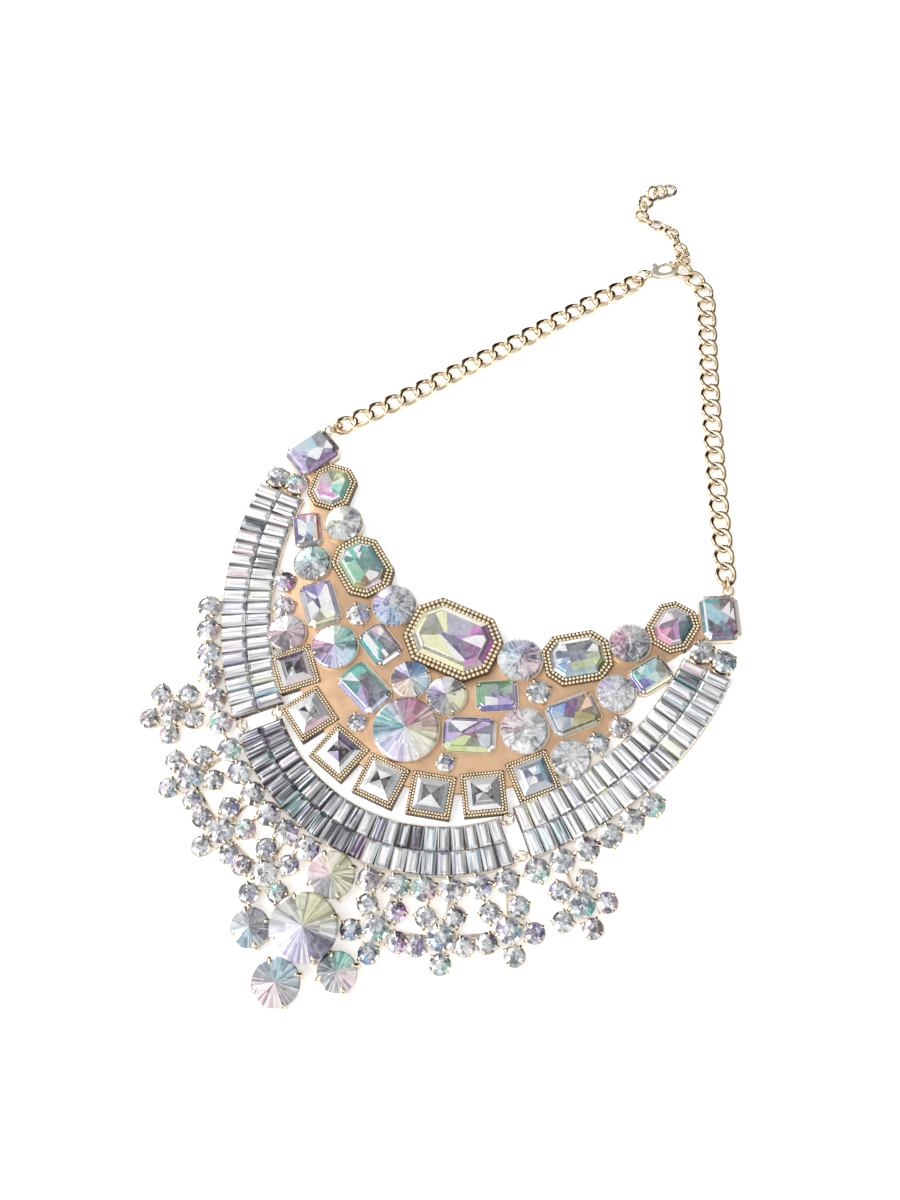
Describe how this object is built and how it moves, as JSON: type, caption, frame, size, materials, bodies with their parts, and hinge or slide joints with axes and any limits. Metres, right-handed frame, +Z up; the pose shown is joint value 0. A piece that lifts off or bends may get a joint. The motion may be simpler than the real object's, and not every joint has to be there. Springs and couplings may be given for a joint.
{
  "type": "bib necklace",
  "caption": "Bib necklace of faceted stones in gold settings, with baguette bands, stone flowers and pendants, on curb chains that a lobster clasp and a free extender chain close.",
  "frame": {"origin": "middle of the necklace's footprint, on the surface that it lies on", "axes": "+Y from the pendants to the clasp, +X to the bib's right as it is seen from above, +Z up from the surface"},
  "size_m": [0.1892, 0.3636, 0.0088],
  "materials": {
    "gold": "polished champagne gold plate",
    "crystal": "faceted, with an iridescent foil back"
  },
  "bodies": {
    "necklace": {"arm_band_left": "gold", "arm_band_right": "gold", "arm_row_left": "gold", "arm_row_right": "gold", "base_field_left": "gold", "base_field_right": "gold", "bib_frame": "gold", "big_rect_left": "crystal", "big_rect_right": "crystal", "big_rivoli": "crystal", "centre_band": "gold", "centre_octagon": "crystal", "chain_left": "gold", "chain_right": "gold", "clasp_body": "gold", "core_round_left": "crystal", "core_round_right": "crystal", "end_rect_left": "crystal", "end_rect_right": "crystal", "extender": "gold", "inner_round_left": "crystal", "inner_round_right": "crystal", "jump_ring_inner_left": "gold", "jump_ring_inner_right": "gold", "jump_ring_outer_left": "gold", "jump_ring_outer_right": "gold", "large_round_left": "crystal", "large_round_right": "crystal", "mid_octagon_left": "crystal", "mid_octagon_right": "crystal", "outer_round_left": "crystal", "outer_round_right": "crystal", "pendant_big": "crystal", "pendant_bottom": "crystal", "pendant_frame": "gold", "pendant_left": "crystal", "pendant_right": "crystal", "pendant_top": "crystal", "short_rect_left": "crystal", "short_rect_right": "crystal", "shoulder_round_left": "crystal", "shoulder_round_right": "crystal", "side_round_left": "crystal", "side_round_right": "crystal", "small_octagon_left": "crystal", "small_octagon_right": "crystal", "square_1": "crystal", "square_2": "crystal", "square_3": "crystal", "square_4": "crystal", "square_5": "crystal", "square_6": "crystal", "square_7": "crystal", "tilted_rect_left": "crystal", "tilted_rect_right": "crystal", "wide_rect_left": "crystal", "wide_rect_right": "crystal"},
    "lever": {"clasp_lever": "gold"}
  },
  "joints": [
    {"name": "clasp_lever_hinge", "type": "hinge", "parent": "necklace", "child": "lever", "pos_m": [0.00467, 0.13645, 0.004], "axis": [0, 0, 1], "range_deg": [-20, 0], "stiffness_Nm_per_rad": 0.0005}
  ]
}
